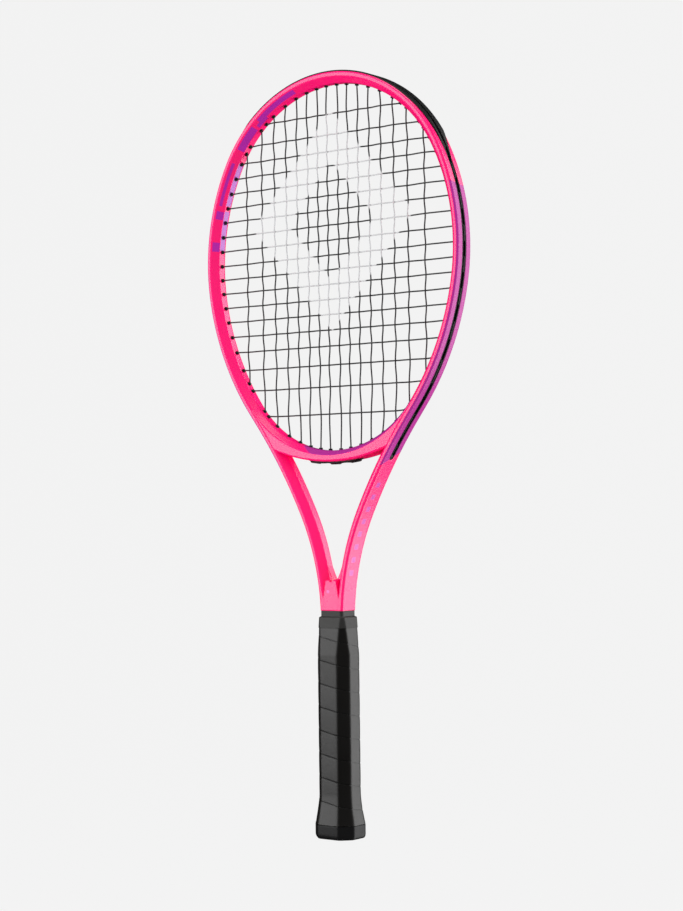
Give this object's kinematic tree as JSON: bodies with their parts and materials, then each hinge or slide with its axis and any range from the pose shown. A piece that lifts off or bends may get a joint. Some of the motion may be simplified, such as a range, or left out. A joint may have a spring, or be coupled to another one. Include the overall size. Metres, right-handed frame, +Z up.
{
  "type": "tennis racket",
  "caption": "Strung tennis racket with an oval head, an open throat, an octagonal wrapped handle and a snap-in door in the butt cap.",
  "frame": {"origin": "centre of the butt cap's flat end, where the handle's axis meets it", "axes": "+Z up the handle's axis to the top of the head, X across the face in the string plane, -Y out of the front face"},
  "size_m": [0.2808, 0.0378, 0.685],
  "materials": {
    "frame_paint": "gloss lacquer over a carbon composite",
    "black_nylon": "satin moulded nylon",
    "string": "satin polyester",
    "handle_foam": "moulded rigid foam",
    "cap_plastic": "gloss moulded",
    "staple_steel": "plain wire",
    "grip": "smooth synthetic leather",
    "tape": "thin adhesive tape",
    "collar_rubber": "matt rubber"
  },
  "bodies": {
    "racket": {"frame": "frame_paint", "throat_bridge": "frame_paint", "bumper_guard": "black_nylon", "grommet_strip_left": "black_nylon", "grommet_strip_right": "black_nylon", "bridge_grommet_strip": "black_nylon", "main_string": "string", "cross_string": "string", "pallet_front": "handle_foam", "pallet_back": "handle_foam", "butt_cap": "cap_plastic", "cap_staples": "staple_steel", "grip_wrap": "grip", "grip_tack": "staple_steel", "finishing_tape": "tape"},
    "door": {"trap_door": "cap_plastic"},
    "collar": {"grip_collar": "collar_rubber"}
  },
  "joints": [
    {"name": "door_pull", "type": "slide", "parent": "racket", "child": "door", "axis": [0, 0, -1], "range_m": [0, 0.016]},
    {"name": "collar_roll", "type": "slide", "parent": "racket", "child": "collar", "axis": [0, 0, 1], "range_m": [0, 0.008], "deforming": ["grip_collar"]}
  ]
}
